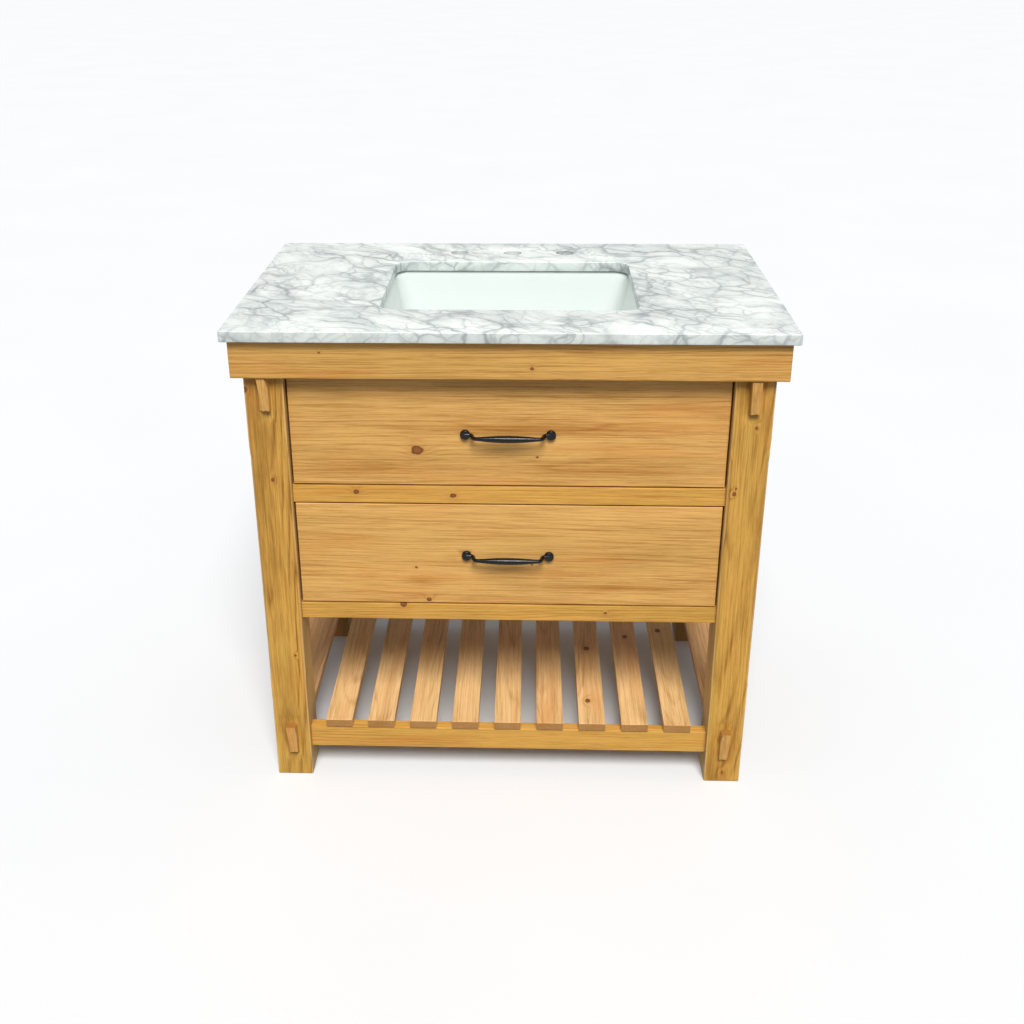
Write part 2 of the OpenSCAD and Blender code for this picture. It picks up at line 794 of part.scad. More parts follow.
leg_front_left();
leg_front_right();
leg_rear_left();
leg_rear_right();
apron_front();
apron_left();
apron_right();
top_rail_front();
top_rail_rear();
mid_rail();
bottom_rail_front();
bottom_rail_rear();
side_panel_left();
side_panel_right();
back_panel();
slide_battens();
corner_blocks();
leg_pegs();
stretcher_left();
stretcher_right();
shelf_rail_front();
shelf_rail_rear();
shelf_edge_left();
shelf_edge_right();
shelf_slat(1);  // shelf_slat_1
shelf_slat(2);  // shelf_slat_2
shelf_slat(3);  // shelf_slat_3
shelf_slat(4);  // shelf_slat_4
shelf_slat(5);  // shelf_slat_5
shelf_slat(6);  // shelf_slat_6
shelf_slat(7);  // shelf_slat_7
shelf_slat(8);  // shelf_slat_8
shelf_slat(9);  // shelf_slat_9
marble_top();
basin();
basin_seal();
basin_clips();
upper_drawer_front();
upper_drawer_subfront();
upper_drawer_side_left();
upper_drawer_side_right();
upper_drawer_notch_walls();
upper_drawer_backs();
upper_drawer_bottoms();
lower_drawer_front();
lower_drawer_subfront();
lower_drawer_side_left();
lower_drawer_side_right();
lower_drawer_back();
lower_drawer_bottom();
handle_upper();
handle_lower();
handle_screws_upper();
handle_screws_lower();
slide_outers();
slide_middles_upper();
slide_middles_lower();
slide_inners_upper();
slide_inners_lower();
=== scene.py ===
"""A pine bathroom vanity: marble top, undermount basin, two drawers and a slatted shelf."""

import json
import math

import bmesh
import bpy
from mathutils import Matrix, Vector, noise


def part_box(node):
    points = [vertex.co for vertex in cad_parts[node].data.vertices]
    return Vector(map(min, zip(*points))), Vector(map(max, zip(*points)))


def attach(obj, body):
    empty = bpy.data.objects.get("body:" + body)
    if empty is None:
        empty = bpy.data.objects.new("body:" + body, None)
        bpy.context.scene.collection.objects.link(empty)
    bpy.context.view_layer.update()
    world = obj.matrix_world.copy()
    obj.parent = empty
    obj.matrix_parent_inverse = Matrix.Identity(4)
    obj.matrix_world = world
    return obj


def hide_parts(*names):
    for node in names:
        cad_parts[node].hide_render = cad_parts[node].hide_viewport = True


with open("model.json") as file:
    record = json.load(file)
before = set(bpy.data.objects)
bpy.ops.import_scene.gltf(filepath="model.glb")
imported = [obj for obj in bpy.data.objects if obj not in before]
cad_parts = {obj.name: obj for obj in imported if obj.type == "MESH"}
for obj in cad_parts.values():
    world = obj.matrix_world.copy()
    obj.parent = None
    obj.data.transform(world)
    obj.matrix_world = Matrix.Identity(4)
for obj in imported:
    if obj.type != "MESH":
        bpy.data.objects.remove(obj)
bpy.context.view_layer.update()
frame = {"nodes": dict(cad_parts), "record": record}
cad = frame["nodes"]
body_of = {n: body for body, members in frame["record"]["behaviour"]["bodies"].items() for n in members}

X, Y, Z = Vector((1, 0, 0)), Vector((0, 1, 0)), Vector((0, 0, 1))
MM = 0.001
WELD = 0.01 * MM  # corners nearer to each other than this are one corner

# Places that several pieces share, all from the frame
leg_low, leg_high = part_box("leg_front_right")
LEG_IN, LEG_OUT, LEG_FACE = leg_low.x, leg_high.x, leg_low.y
LEG_MIDDLE = (LEG_IN + LEG_OUT) / 2
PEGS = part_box("leg_pegs")
PEG_HEIGHT, PEG_HALF = 60 * MM, 9 * MM


# ---- Camera, light and floor ----

FLOOR_HALF = 40


def add_camera():
    """In front of the cabinet and above it, looking down and a little to the left.

    The place, angles, lens and shift are the ones at which the cabinet's corners lie as in the photo."""
    place = (0.0317, -2.0702, 1.4633)
    pitch, yaw, roll = (math.radians(a) for a in (23.61, -2.24, 0.39))
    lens, sensor_width = 42.19, 36
    shift_x, shift_y = 0.0273, -0.0617
    forward = Vector((math.sin(yaw) * math.cos(pitch), math.cos(yaw) * math.cos(pitch), -math.sin(pitch)))
    level = Vector((math.cos(yaw), -math.sin(yaw), 0))
    down = forward.cross(level)
    right = math.cos(roll) * level + math.sin(roll) * down
    up = math.sin(roll) * level - math.cos(roll) * down
    data = bpy.data.cameras.new("camera")
    data.lens, data.sensor_width = lens, sensor_width
    data.shift_x, data.shift_y = shift_x, shift_y
    data.clip_end = 5 * FLOOR_HALF
    camera = bpy.data.objects.new("camera", data)
    turn = Matrix((right, up, -forward)).transposed().to_4x4()
    camera.matrix_world = Matrix.Translation(place) @ turn
    bpy.context.scene.collection.objects.link(camera)
    bpy.context.scene.camera = camera


def add_sun(name, height, side, spread, power, tint=(1, 1, 1)):
    """A large soft lamp far away. height and side are its angles above and beside the cabinet's front."""
    data = bpy.data.lights.new(name, "SUN")
    data.angle = math.radians(spread)
    data.energy = power
    data.color = tint
    lamp = bpy.data.objects.new(name, data)
    height, side = math.radians(height), math.radians(side)
    level = Vector((math.sin(side), -math.cos(side), 0))
    towards = level * math.cos(height) + Z * math.sin(height)
    lamp.rotation_euler = towards.to_track_quat("Z", "Y").to_euler()
    bpy.context.scene.collection.objects.link(lamp)


def add_world(overhead, horizon, below):
    """A pale studio: bright at the horizon, where the floor ends, and dim above and under it.

    The three levels blend between heights that are given as sines of the angle above the horizon."""
    under_to_horizon, horizon_to_overhead = (-0.12, -0.06), (0.05, 0.14)
    cool_white = (0.985, 0.99, 1.0, 1)
    world = bpy.data.worlds.new("studio")
    world.use_nodes = True
    nodes, links = world.node_tree.nodes, world.node_tree.links
    place = nodes.new("ShaderNodeTexCoord")
    parts = nodes.new("ShaderNodeSeparateXYZ")
    links.new(place.outputs["Generated"], parts.inputs[0])
    level = None
    for (start, end), before, after in ((under_to_horizon, below, horizon),
                                        (horizon_to_overhead, 0.0, overhead - horizon)):
        step = nodes.new("ShaderNodeMapRange")
        for key, value in (("From Min", start), ("From Max", end), ("To Min", before), ("To Max", after)):
            step.inputs[key].default_value = value
        links.new(parts.outputs["Z"], step.inputs["Value"])
        if level is not None:
            total = nodes.new("ShaderNodeMath")
            links.new(level, total.inputs[0])
            links.new(step.outputs[0], total.inputs[1])
            step = total
        level = step.outputs[0]
    links.new(level, nodes["Background"].inputs["Strength"])
    nodes["Background"].inputs["Color"].default_value = cool_white
    bpy.context.scene.world = world


def add_floor():
    """Pale and wide. It takes shadows but sends no light back up, so that shadows stay deep."""
    mesh = bpy.data.meshes.new("floor")
    corners = [(x * FLOOR_HALF, y * FLOOR_HALF, 0) for x, y in ((-1, -1), (1, -1), (1, 1), (-1, 1))]
    mesh.from_pydata(corners, [], [(0, 1, 2, 3)])
    floor = bpy.data.objects.new("floor", mesh)
    bpy.context.scene.collection.objects.link(floor)
    t = Tree("pale_floor")
    tone = t.noise(t.place(), scale=1.5, detail=3)
    t.finish(color=t.mix(tone, rgb("#DEE0E4"), rgb("#E3E5E8")), roughness=0.85)
    mesh.materials.append(t.material)
    floor.visible_diffuse = False


# ---- Materials ----

def rgb(code):
    """A colour from its hex code, in linear light."""
    parts = [int(code[i:i + 2], 16) / 255 for i in (1, 3, 5)]
    return (*[p / 12.92 if p <= 0.04045 else ((p + 0.055) / 1.055) ** 2.4 for p in parts], 1)


class Tree:
    """A material's node tree. Each method adds a node and returns its output."""

    def __init__(self, name):
        self.material = bpy.data.materials.new(name)
        self.material.use_nodes = True
        self.tree = self.material.node_tree

    def add(self, kind, inputs, output=0, **settings):
        node = self.tree.nodes.new("ShaderNode" + kind)
        for key, value in settings.items():
            setattr(node, key, value)
        for key, value in inputs.items():
            self.put(node.inputs[key], value)
        return node.outputs[output]

    def put(self, socket, value):
        if isinstance(value, bpy.types.NodeSocket):
            self.tree.links.new(value, socket)
        else:
            socket.default_value = value

    def place(self):
        return self.add("TexCoord", {}, "Object")

    def math(self, operation, a, b=0.0, c=0.0):
        return self.add("Math", {0: a, 1: b, 2: c}, operation=operation)

    def vector(self, operation, a, b=(0, 0, 0), c=(0, 0, 0)):
        return self.add("VectorMath", {0: a, 1: b, 2: c}, operation=operation)

    def length(self, a):
        return self.add("VectorMath", {0: a}, "Value", operation="LENGTH")

    def noise(self, vector, scale=1.0, detail=2.0, roughness=0.5, distortion=0.0, output="Fac"):
        inputs = {"Vector": vector, "Scale": scale, "Detail": detail}
        inputs.update({"Roughness": roughness, "Distortion": distortion})
        return self.add("TexNoise", inputs, output)

    def edges(self, vector, scale):
        """Distance to the nearest border between cells of a random honeycomb."""
        inputs = {"Vector": vector, "Scale": scale}
        return self.add("TexVoronoi", inputs, "Distance", feature="DISTANCE_TO_EDGE")

    def mix(self, factor, a, b, blend="MIX"):
        return self.add("Mix", {0: factor, 6: a, 7: b}, 2, data_type="RGBA", blend_type=blend)

    def span(self, value, low, high, to_low=0.0, to_high=1.0):
        """Value between low and high, smoothly remapped and held at both ends."""
        inputs = {"Value": value, "From Min": low, "From Max": high, "To Min": to_low, "To Max": to_high}
        return self.add("MapRange", inputs, interpolation_type="SMOOTHSTEP")

    def ramp(self, factor, stops):
        """Grey levels at the given positions, joined by straight lines."""
        output = self.add("ValToRGB", {0: factor})
        elements = output.node.color_ramp.elements
        while len(elements) < len(stops):
            elements.new(0.5)
        for element, (position, level) in zip(elements, stops):
            element.position = position
            element.color = (level, level, level, 1)
        return output

    def finish(self, color, roughness, height=None, depth=MM, **settings):
        """Wires the surface. The named settings are the shader's own, and are the same all over."""
        shader = self.tree.nodes["Principled BSDF"]
        self.put(shader.inputs["Base Color"], color)
        self.put(shader.inputs["Roughness"], roughness)
        for key, value in settings.items():
            shader.inputs[key.replace("_", " ")].default_value = value
        if height is not None:
            bump = self.add("Bump", {"Height": height, "Distance": depth, "Strength": 1.0})
            self.put(shader.inputs["Normal"], bump)
        return self.material


# Axes along the board, across its face and into it. "side" is along Y on a board that faces sideways.
GRAIN_ORDER = {"X": ("X", "Z", "Y"), "Y": ("Y", "X", "Z"), "Z": ("Z", "X", "Y"), "side": ("Y", "Z", "X")}

# Tones that the light and dark wood of every board is tinted with
MOSS, HONEY, OLD_STAIN = rgb("#8C7A34"), rgb("#C9803A"), rgb("#7D5014")
RUBBED, END_GRAIN, SHALLOW_RINGS = rgb("#E2C184"), rgb("#855519"), rgb("#B06A22")
KNOT_HALO, KNOT_DARK, KNOT_PALE, KNOT_RIM = rgb("#A5622A"), rgb("#6E3A16"), rgb("#96602E"), rgb("#4A2409")


def pine(name, grain, light, dark, seed=0.0, heart=(0.0, 0.06), tilt=(0.01, 0.02), ring=5 * MM,
         contrast=0.3, streaks=1.0, green=0.2, stain=0.1, knots=(), flares=(), arris=None):
    """Oiled pine as a solid texture, so that faces and end grain agree.

    Growth rings are shells round the log's heart, which lies at `heart` (across, deep) from the origin
    and drifts by `tilt` per metre. Each knot is (along, across, radius), and the rings bend round it.
    Each flare is (along, across, length, width): a lens of darker wood where the rings run shallow.
    arris is (middle, half width) of a leg whose edges have been rubbed pale."""
    t = Tree(name)
    axes = t.add("SeparateXYZ", {0: t.place()}).node.outputs
    along, across, deep = (axes[a] for a in GRAIN_ORDER[grain])
    board = t.add("CombineXYZ", {0: along, 1: across, 2: deep})
    step_per_seed = Vector((3.7, 1.3, 2.1))
    spot = t.vector("ADD", board, step_per_seed * seed)

    def patches(lengthwise, crosswise, **kind):
        """Noise with that many patches per metre along and across the grain."""
        return t.noise(t.vector("MULTIPLY", spot, (lengthwise, crosswise, crosswise)), **kind)

    def share(value, weight):
        """A noise value as a push either way."""
        return t.math("MULTIPLY", t.math("SUBTRACT", value, 0.5), weight)

    def shift(lengthwise, crosswise, amount):
        """A push across the grain that changes along the board."""
        noise_color = patches(lengthwise, crosswise, detail=2, output="Color")
        return t.vector("MULTIPLY", t.vector("SUBTRACT", noise_color, (0.5, 0.5, 0.5)), (0, amount, amount))

    def distance(place_along, place_across, scale_along, scale_across, nudge=None):
        """How far a point of the face is from a place, in units of the two scales."""
        offset = t.add("CombineXYZ", {0: along, 1: across})
        offset = t.vector("SUBTRACT", offset, (place_along, place_across, 0))
        if nudge is not None:
            offset = t.vector("ADD", offset, t.vector("MULTIPLY", nudge, (0, 1, 0)))
        return t.length(t.vector("MULTIPLY", offset, (scale_along, scale_across, 0)))

    def bell(far, steepness):
        return t.math("EXPONENT", t.math("MULTIPLY", t.math("MULTIPLY", far, far), -steepness))

    # Rings: the distance from the log's heart, in years
    wander = shift(1.4, 6, 35 * MM)
    ripple = shift(7, 50, 5 * MM)
    bent = t.vector("ADD", board, t.vector("ADD", wander, ripple))
    drift = t.add("CombineXYZ", {0: 0.0, 1: t.math("MULTIPLY_ADD", along, tilt[0], heart[0]),
                                 2: t.math("MULTIPLY_ADD", along, tilt[1], heart[1])})
    from_heart = t.vector("MULTIPLY", t.vector("SUBTRACT", bent, drift), (0, 1, 1))
    age = t.math("DIVIDE", t.length(from_heart), ring)
    good_and_bad_years = t.noise(t.add("CombineXYZ", {0: age, 1: seed}), scale=0.37, detail=1)
    age = t.math("ADD", age, t.math("MULTIPLY", good_and_bad_years, 2.4))

    # Knots and flares push the rings aside
    core = halo = rim = flare = 0.0
    knot_edge, rim_width, years_per_knot, years_per_flare = 0.85, 0.4, 1.6, 1.8
    for knot_along, knot_across, radius in knots:
        far = distance(knot_along, knot_across, 0.8 / radius, 1 / radius)
        far = t.math("ADD", far, share(patches(130, 130, detail=2), 0.7))
        near = bell(far, 0.2)
        age = t.math("ADD", age, t.math("MULTIPLY", near, years_per_knot))
        core = t.math("MAXIMUM", core, t.span(far, knot_edge, knot_edge + 0.3, 1.0, 0.0))
        off_rim = t.math("ABSOLUTE", t.math("SUBTRACT", far, knot_edge))
        rim = t.math("MAXIMUM", rim, t.span(off_rim, 0.0, rim_width, 1.0, 0.0))
        halo = t.math("MAXIMUM", halo, near)
    for flare_along, flare_across, length, width in flares:
        near = bell(distance(flare_along, flare_across, 1 / length, 1 / width, nudge=ripple), 1.0)
        age = t.math("ADD", age, t.math("MULTIPLY", near, years_per_flare))
        flare = t.math("MAXIMUM", flare, near)

    # Darkness: late wood of each year, then streaks and fibres of four sizes
    late_wood = t.ramp(t.math("FRACT", age), ((0.0, 0.3), (0.08, 0.0), (0.6, 0.1), (0.88, 1.0), (1.0, 0.3)))
    present = t.span(patches(2.2, 30, detail=2), 0.36, 0.66, 0.1, 1.0)
    streak = patches(5, 290, detail=4, roughness=0.7)
    fibre = patches(16, 600, detail=3, roughness=0.7)
    hair = patches(70, 1600, detail=1)
    blotch = patches(4, 18, detail=5, roughness=0.6)
    darkness = t.math("MULTIPLY", t.math("MULTIPLY", late_wood, present), contrast)
    for part in (share(streak, 1.5 * streaks), share(fibre, 1.4), share(hair, 0.3), share(blotch, 0.6),
                 t.math("MULTIPLY", flare, 0.28)):
        darkness = t.math("ADD", darkness, part)
    color = t.mix(t.span(darkness, -0.45, 0.95), light, dark)

    # Tints, from the widest to the smallest
    mossy = t.span(patches(1.6, 16, detail=3), 0.42, 0.68, 0.0, green)
    color = t.mix(mossy, color, MOSS)
    warm = t.span(patches(2.4, 20, scale=1.3, detail=2), 0.5, 0.75, 0.0, 0.35)
    color = t.mix(warm, color, HONEY)
    old_stain = t.span(patches(5, 24, detail=4, roughness=0.6), 0.46, 0.7, 0.0, stain)
    color = t.mix(old_stain, color, OLD_STAIN)
    if arris:
        middle, half_width = arris
        rubbed_width, fade = 3.5 * MM, 3 * MM
        off_middle = t.math("ABSOLUTE", t.math("SUBTRACT", across, middle))
        rub = t.math("SUBTRACT", off_middle, half_width - rubbed_width)
        rub = t.math("ADD", rub, share(patches(9, 60, detail=3), 6 * MM))
        color = t.mix(t.span(rub, 0.0, fade, 0.0, 0.5), color, RUBBED)
    facing = t.add("SeparateXYZ", {0: t.add("TexCoord", {}, "Normal")}).node.outputs
    cut = facing[GRAIN_ORDER[grain][0]]
    end_grain = t.span(t.math("ABSOLUTE", cut), 0.6, 0.9, 0.0, 0.72)
    color = t.mix(end_grain, color, END_GRAIN)
    if flares:
        color = t.mix(t.math("MULTIPLY", flare, 0.3), color, SHALLOW_RINGS)
    if knots:
        color = t.mix(t.math("MULTIPLY", halo, 0.28), color, KNOT_HALO)
        speckle = t.mix(patches(220, 220, detail=2), KNOT_DARK, KNOT_PALE)
        color = t.mix(core, color, speckle)
        color = t.mix(t.math("MULTIPLY", rim, 0.55), color, KNOT_RIM)
    height = t.math("SUBTRACT", t.math("MULTIPLY", fibre, 0.7), t.math("MULTIPLY", late_wood, 0.3))
    rough = t.span(fibre, 0.2, 0.8, 0.6, 0.42)
    return t.finish(color, rough, height, depth=0.4 * MM, Specular_IOR_Level=0.3)


def plain_board(name, grain, light, dark, seed=0.0):
    """Planed pine for the parts inside: paler, with finer and straighter grain."""
    return pine(name, grain, light, dark, seed, heart=(0.4, 0.3), tilt=(0.0, 0.01), ring=3 * MM,
                contrast=0.25, streaks=0.6, green=0.05)


def plywood(name, grain, along_edge="Z"):
    """Birch faces, with thin glued layers where the edge shows."""
    t = Tree(name)
    axes = t.add("SeparateXYZ", {0: t.place()}).node.outputs
    along, across, deep = (axes[a] for a in GRAIN_ORDER[grain])
    spot = t.add("CombineXYZ", {0: t.math("MULTIPLY", along, 5), 1: t.math("MULTIPLY", across, 90),
                                2: t.math("MULTIPLY", deep, 90)})
    figure = t.noise(spot, scale=1.0, detail=4, roughness=0.6, distortion=0.4)
    layers = t.span(t.math("PINGPONG", axes[along_edge], MM), 0.35 * MM, 0.65 * MM)
    color = t.mix(t.span(figure, 0.3, 0.75), rgb("#DDBE8C"), rgb("#BE955C"))
    facing = t.add("SeparateXYZ", {0: t.add("TexCoord", {}, "Normal")}).node.outputs[along_edge]
    on_edge = t.span(t.math("ABSOLUTE", facing), 0.3, 0.6, 0.5, 0.0)
    color = t.mix(t.math("MULTIPLY", layers, on_edge), color, rgb("#7A5230"))
    return t.finish(color, t.span(figure, 0.2, 0.8, 0.5, 0.62), figure, depth=0.12 * MM)


def marble():
    """White stone with grey veins: three sizes of network with soft sides, clouds and a few dark veins."""
    t = Tree("marble")
    place = t.place()

    def warped(source, scale, amount, detail):
        push = t.noise(source, scale=scale, detail=detail, output="Color")
        push = t.vector("SUBTRACT", push, (0.5, 0.5, 0.5))
        return t.vector("ADD", source, t.vector("MULTIPLY", push, (amount, amount, amount)))

    bent = warped(warped(place, 4, 0.15, 3), 24, 0.028, 3)
    slant = t.add("VectorRotate", {"Vector": bent, "Angle": math.radians(38)})
    drawn = t.vector("MULTIPLY", slant, (0.55, 1.15, 1.0))

    def network(cells, core, side, low, high, drift):
        """Thin lines with soft grey sides, coming and going over the slab."""
        gap = t.edges(t.vector("ADD", drawn, (drift, 2 * drift, drift)), cells)
        there = t.span(t.noise(place, scale=7 + drift, detail=3), low, high, 0.12, 1.0)
        line = t.span(gap, 0.0, core, 1.0, 0.0)
        soft = t.math("MULTIPLY", t.span(gap, 0.0, side, 1.0, 0.0), 0.45)
        return t.math("MULTIPLY", t.math("ADD", line, soft), there)

    wide = network(15, 0.06, 0.38, 0.36, 0.62, 0.0)
    middle = network(32, 0.095, 0.42, 0.38, 0.64, 3.0)
    fine = network(68, 0.15, 0.5, 0.42, 0.68, 5.0)
    ridge = t.math("ABSOLUTE", t.math("SUBTRACT", t.noise(drawn, scale=5, detail=3, roughness=0.5), 0.5))
    in_places = t.span(t.noise(place, scale=4.5), 0.5, 0.66)
    bold = t.math("MULTIPLY", t.span(ridge, 0.0, 0.03, 1.0, 0.0), in_places)
    cloud = t.span(t.noise(drawn, scale=9, detail=6, roughness=0.7), 0.40, 0.70)
    color = t.mix(t.math("MULTIPLY", cloud, 0.52), rgb("#F5FBF9"), rgb("#BEC6C5"))
    for veins, strength, tone in ((fine, 0.28, "#98A1A2"), (middle, 0.45, "#929B9C"),
                                  (wide, 0.5, "#899294"), (bold, 0.42, "#6F787A")):
        color = t.mix(t.math("MULTIPLY", veins, strength), color, rgb(tone))
    facing = t.add("SeparateXYZ", {0: t.add("TexCoord", {}, "Normal")}).node.outputs["Z"]
    # Painted shade: upright faces, the slab's sides and its cut-outs, are drawn darker than the top.
    upright_painted_shade = t.span(t.math("ABSOLUTE", facing), 0.3, 0.8, 0.35, 0.0)
    color = t.mix(upright_painted_shade, color, rgb("#AEB6B4"), "MULTIPLY")
    rough = t.math("ADD", t.math("MULTIPLY", t.noise(place, scale=60, detail=3), 0.08), 0.2)
    return t.finish(color, rough, Specular_IOR_Level=0.4)


def ceramic():
    """Pale glaze over a faintly uneven body."""
    t = Tree("ceramic")
    place = t.place()
    cool = t.noise(place, scale=7, detail=2)
    color = t.mix(cool, rgb("#CFD8D6"), rgb("#D6DEDC"))
    ripple = t.noise(place, scale=22, detail=1)
    rough = t.math("ADD", t.math("MULTIPLY", cool, 0.05), 0.1)
    return t.finish(color, rough, ripple, depth=0.2 * MM, Coat_Weight=0.2, Coat_Roughness=0.05)


def black_iron():
    """Satin black paint over forged iron, a little polished in places."""
    t = Tree("black_iron")
    place = t.place()
    skin = t.noise(place, scale=420, detail=3)
    worn = t.noise(place, scale=60, detail=4)
    color = t.mix(t.span(worn, 0.5, 0.75), rgb("#060607"), rgb("#0F1011"))
    return t.finish(color, t.span(worn, 0.35, 0.7, 0.3, 0.2), skin, depth=0.06 * MM, Specular_IOR_Level=0.3)


def zinc_steel():
    """Bright zinc plating with rolling marks along the part and a faint spangle."""
    t = Tree("zinc_steel")
    place = t.place()
    rolled = t.noise(t.vector("MULTIPLY", place, (900, 20, 900)), detail=3)
    spangle = t.noise(place, scale=240, detail=2)
    color = t.mix(spangle, rgb("#B9BCBF"), rgb("#D3D5D6"))
    return t.finish(color, t.span(rolled, 0.25, 0.75, 0.28, 0.46), rolled, depth=0.05 * MM, Metallic=1.0)


def silicone():
    """Grey sealant."""
    t = Tree("silicone")
    lumps = t.noise(t.place(), scale=180, detail=2)
    return t.finish(t.mix(lumps, rgb("#8B908F"), rgb("#A3A8A6")), t.span(lumps, 0.3, 0.7, 0.35, 0.5), lumps,
                    depth=0.2 * MM)


# ---- Shapes ----

def shape_of(node):
    """A welded copy of a CAD node's shape."""
    shape = bmesh.new()
    shape.from_mesh(cad[node].data)
    bmesh.ops.remove_doubles(shape, verts=shape.verts, dist=WELD)
    return shape


def slice_at(shape, axis, places):
    """Adds edges where planes across the axis meet the shape, and leaves its form as it is."""
    for place in places:
        geometry = shape.verts[:] + shape.edges[:] + shape.faces[:]
        bmesh.ops.bisect_plane(shape, geom=geometry, dist=0.1 * WELD, plane_co=axis * place, plane_no=axis)


def grid_places(low, high, step, edge_steps):
    """Cuts at even steps between two faces, closer together near each face."""
    count = max(1, round((high - low) / step))
    even = [low + (high - low) * i / count for i in range(1, count)]
    near = [low + e for e in edge_steps] + [high - e for e in edge_steps]
    between = [p for p in even if low + edge_steps[-1] < p < high - edge_steps[-1]]
    return sorted(set(round(p, 6) for p in near + between))


def join_rings(shape, rings, around=False):
    """Faces from each ring of corners to the next and, if they go around, from the last to the first."""
    for one, two in zip(rings, rings[1:] + (rings[:1] if around else [])):
        for k in range(len(one)):
            after = (k + 1) % len(one)
            shape.faces.new((one[k], one[after], two[after], two[k]))


def add_piece(name, shape, material, replaced, sharp=40):
    """Makes the mesh object of a finished shape, standing for the replaced CAD nodes."""
    mesh = bpy.data.meshes.new(name)
    shape.to_mesh(mesh)
    shape.free()
    mesh.shade_smooth()
    mesh.set_sharp_from_angle(angle=math.radians(sharp))
    mesh.materials.append(material)
    piece = bpy.data.objects.new(name, mesh)
    bpy.context.scene.collection.objects.link(piece)
    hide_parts(*replaced)
    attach(piece, body_of[replaced[0]])
    return piece


def worn_board(node, material, grain, wear=0.9 * MM, wave=0.25 * MM, seed=0, step=9 * MM, fixed_ends=0.0,
               carve=None):
    """A board with eased, uneven edges and a faintly wavy surface, cut from its CAD shape.

    The box that is eased is the node's own, less fixed_ends at both ends of the grain: there the
    tenons or butt joints keep their shape. carve(point) may move a point further, into the wood."""
    low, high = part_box(node)
    axis = "XYZ".index(grain)
    low[axis] += fixed_ends
    high[axis] -= fixed_ends
    shape = shape_of(node)
    edge_steps = (0.35 * wear, wear, 2.2 * wear)
    for i, direction in enumerate((X, Y, Z)):
        grid = step * 2.5 if i == axis else step
        slice_at(shape, direction, grid_places(low[i], high[i], grid, edge_steps))
    bmesh.ops.dissolve_degenerate(shape, dist=2 * WELD, edges=shape.edges)
    shape.normal_update()
    offset = Vector((seed * 1.7, seed * 0.9, seed * 2.3))
    lumps_per_metre, lump_stretch, rubs_per_metre = 11, 0.3, 38
    on_faces = [v for v in shape.verts if touches_box(v.co, low, high)]
    normals = {v: v.normal.copy() for v in on_faces}
    for v in on_faces:
        place = v.co * lumps_per_metre
        place[axis] *= lump_stretch
        lump = noise.noise(place + offset)
        radius = wear * (1 + 0.55 * noise.noise(v.co * rubs_per_metre + offset))
        moved = eased(v.co, low, high, radius, None if fixed_ends == 0 else axis)
        moved -= normals[v] * wave * (0.5 + 0.5 * lump)
        v.co = carve(moved) if carve else moved
    return add_piece(node + "_worn", shape, material, [node])


def touches_box(p, low, high):
    """Whether a point is inside the box's reach and on one of its faces."""
    near = 2 * WELD
    if any(p[i] < low[i] - near or p[i] > high[i] + near for i in range(3)):
        return False
    return any(abs(p[i] - low[i]) < near or abs(p[i] - high[i]) < near for i in range(3))


def eased(p, low, high, radius, open_axis=None):
    """The point moved onto the same box with round edges; nothing is rounded across the open axis."""
    inner = Vector(min(max(p[i], low[i] + radius), high[i] - radius) for i in range(3))
    if open_axis is not None:
        inner[open_axis] = p[open_axis]
    out = p - inner
    return inner + out.normalized() * radius if out.length > radius else p.copy()


def soften(node, width, segments=2):
    """Eases the edges of a CAD node that stays."""
    weld = cad[node].modifiers.new("weld", "WELD")
    weld.merge_threshold = WELD
    bevel = cad[node].modifiers.new("ease", "BEVEL")
    bevel.width, bevel.segments = width, segments
    bevel.limit_method, bevel.angle_limit = "ANGLE", math.radians(35)


def paint(node, material, width=0.5 * MM):
    """Gives a CAD node that stays its material and eased edges."""
    cad[node].data.materials.clear()
    cad[node].data.materials.append(material)
    soften(node, width)


# ---- Legs and pegs ----

# Knots in the front legs: height, place across, radius
LEG_KNOTS = {
    "left": ((0.772, -0.4285, 0.004), (0.610, -0.3945, 0.003), (0.262, -0.381, 0.002)),
    "right": ((0.592, 0.377, 0.0028), (0.602, 0.379, 0.0018), (0.711, 0.404, 0.0022), (0.020, 0.398, 0.002)),
}


def carve_leg(side, seed):
    """Hollows scooped by hand round the pegs, and knocks along both front edges."""
    peg_tops = (PEGS[1].z, PEGS[0].z + PEG_HEIGHT)
    hollow_depth, hollow_above, hollow_aside = 3.2 * MM, 26 * MM, 13 * MM
    knock_depth, knock_width = 3.5 * MM, 8 * MM
    skin = 6 * MM  # how deep behind the face the wood still follows its surface
    untouched = LEG_FACE + 30 * MM

    def carve(p):
        if p.y > untouched:
            return p
        push = 0.0
        for top in peg_tops:
            across = abs(p.x - side * LEG_MIDDLE)
            beyond = max(0.0, top - PEG_HEIGHT - p.z, p.z - top) / hollow_above
            aside = max(0.0, across - PEG_HALF) / hollow_aside
            reach = beyond * beyond + aside * aside
            push = max(push, hollow_depth * max(0.0, 1 - reach) ** 2)
        depth = max(0.0, 1 - (p.y - LEG_FACE) / skin)
        from_outer, from_inner = LEG_OUT - abs(p.x), abs(p.x) - LEG_IN
        from_corner = min(from_outer, from_inner)
        knock = noise.noise(Vector((seed, 0, p.z * 16))) + 0.6 * noise.noise(Vector((seed + 5, 0, p.z * 47)))
        dent = max(0.0, knock - 0.25) * knock_depth * max(0.0, 1 - from_corner / knock_width)
        sideways = -math.copysign(dent * 0.6, p.x) if from_corner == from_outer else 0
        return p + Vector((sideways, (push + dent) * depth, 0))
    return carve


